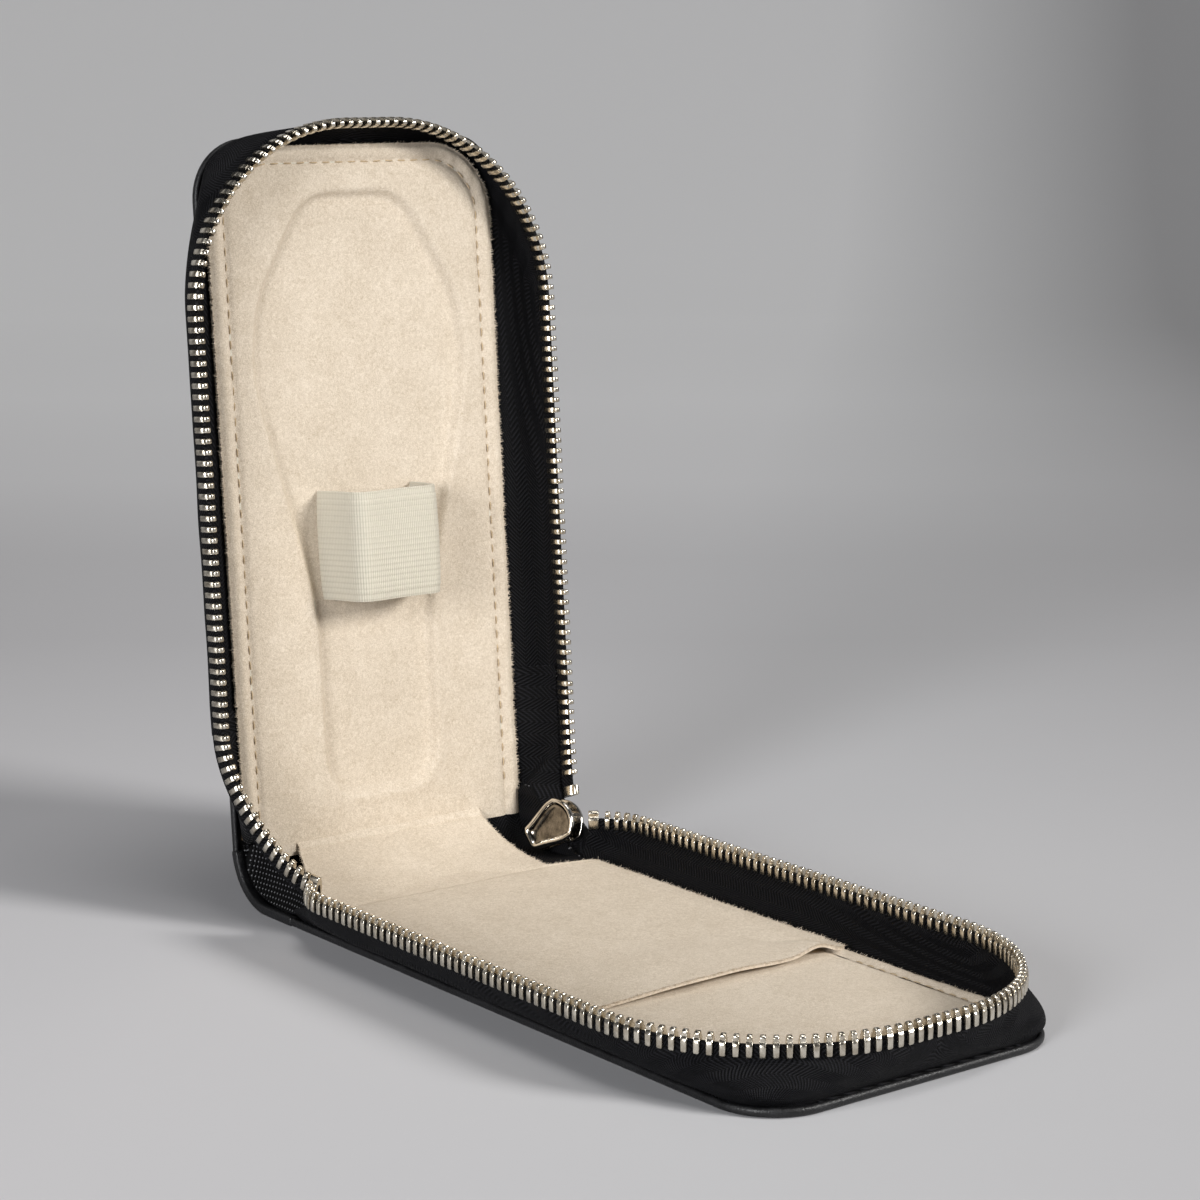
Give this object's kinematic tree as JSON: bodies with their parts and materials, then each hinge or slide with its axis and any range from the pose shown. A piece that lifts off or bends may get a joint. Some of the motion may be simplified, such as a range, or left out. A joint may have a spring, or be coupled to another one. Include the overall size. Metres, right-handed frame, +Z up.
{
  "type": "zip-around watch travel case",
  "caption": "Slim black leather zip-around travel case for one watch, standing open with a pale suede lining, a pressed watch recess, an elastic strap and a flat pocket.",
  "frame": {"origin": "centre of the base half's flat underside", "axes": "+X along the hinge to the right, +Y from the base's free end towards the hinge and lid, +Z up"},
  "size_m": [0.1034, 0.2048, 0.1794],
  "materials": {
    "black_leather": "fine grain, satin",
    "board": "pressed board",
    "foam": "open-cell foam",
    "suede": "napped suede",
    "elastic": "ribbed elastic webbing",
    "zip_tape": "woven tape",
    "gusset_cloth": "open weave cloth",
    "zip_metal": "nickel",
    "slider_metal": "polished nickel"
  },
  "bodies": {
    "base": {"base_cover_leather": "black_leather", "base_stiffener_board": "board", "base_foam_pad": "foam", "base_suede_lining": "suede", "card_pocket": "suede", "base_zip_tape": "zip_tape", "base_zip_teeth": "zip_metal", "base_zip_stop_left": "zip_metal", "base_zip_end_tape_right": "zip_tape", "base_zip_end_teeth_right": "zip_metal", "base_zip_stop_right": "zip_metal", "hinge_gusset_left": "gusset_cloth", "hinge_gusset_right": "gusset_cloth", "spine_suede_lining": "suede"},
    "lid": {"lid_cover_leather": "black_leather", "lid_stiffener_board": "board", "lid_foam_pad": "foam", "lid_suede_lining": "suede", "elastic_strap": "elastic", "lid_zip_tape": "zip_tape", "lid_zip_teeth": "zip_metal", "lid_zip_stops": "zip_metal", "lid_zip_end_tape_left": "zip_tape", "lid_zip_end_tape_right": "zip_tape", "lid_zip_end_teeth_left": "zip_metal", "lid_zip_end_teeth_right": "zip_metal"},
    "spine": {"spine_leather": "black_leather"},
    "slider": {"zip_slider": "slider_metal", "slider_bail": "slider_metal"},
    "puller": {"zip_puller": "slider_metal"}
  },
  "joints": [
    {"name": "lid_fold", "type": "hinge", "parent": "base", "child": "lid", "pos_m": [0, 0.08666, 0.0088], "axis": [-1, 0, 0], "range_deg": [-94.5, 0], "deforming": ["hinge_gusset_left", "hinge_gusset_right", "spine_suede_lining", "base_zip_end_tape_right", "base_zip_end_teeth_right", "base_zip_stop_right", "lid_zip_stops", "lid_zip_end_tape_left", "lid_zip_end_tape_right", "lid_zip_end_teeth_left", "lid_zip_end_teeth_right"]},
    {"name": "spine_fold", "type": "hinge", "parent": "base", "child": "spine", "pos_m": [0, 0.0815, 0.0006], "axis": [-1, 0, 0], "range_deg": [-64.4, 0]},
    {"name": "slider_follow", "type": "hinge", "parent": "base", "child": "slider", "pos_m": [0, 0.07566, -0.0014], "axis": [-1, 0, 0], "range_deg": [-47, 0]},
    {"name": "puller_swing", "type": "hinge", "parent": "slider", "child": "puller", "pos_m": [0.0407, 0.09059, 0.00695], "axis": [0, -0.6678, -0.7444], "range_deg": [0, 45]}
  ],
  "couplings": [
    {"joint": "spine_fold", "follows": "lid_fold", "ratio": 0.68143},
    {"joint": "slider_follow", "follows": "lid_fold", "ratio": 0.49735}
  ]
}
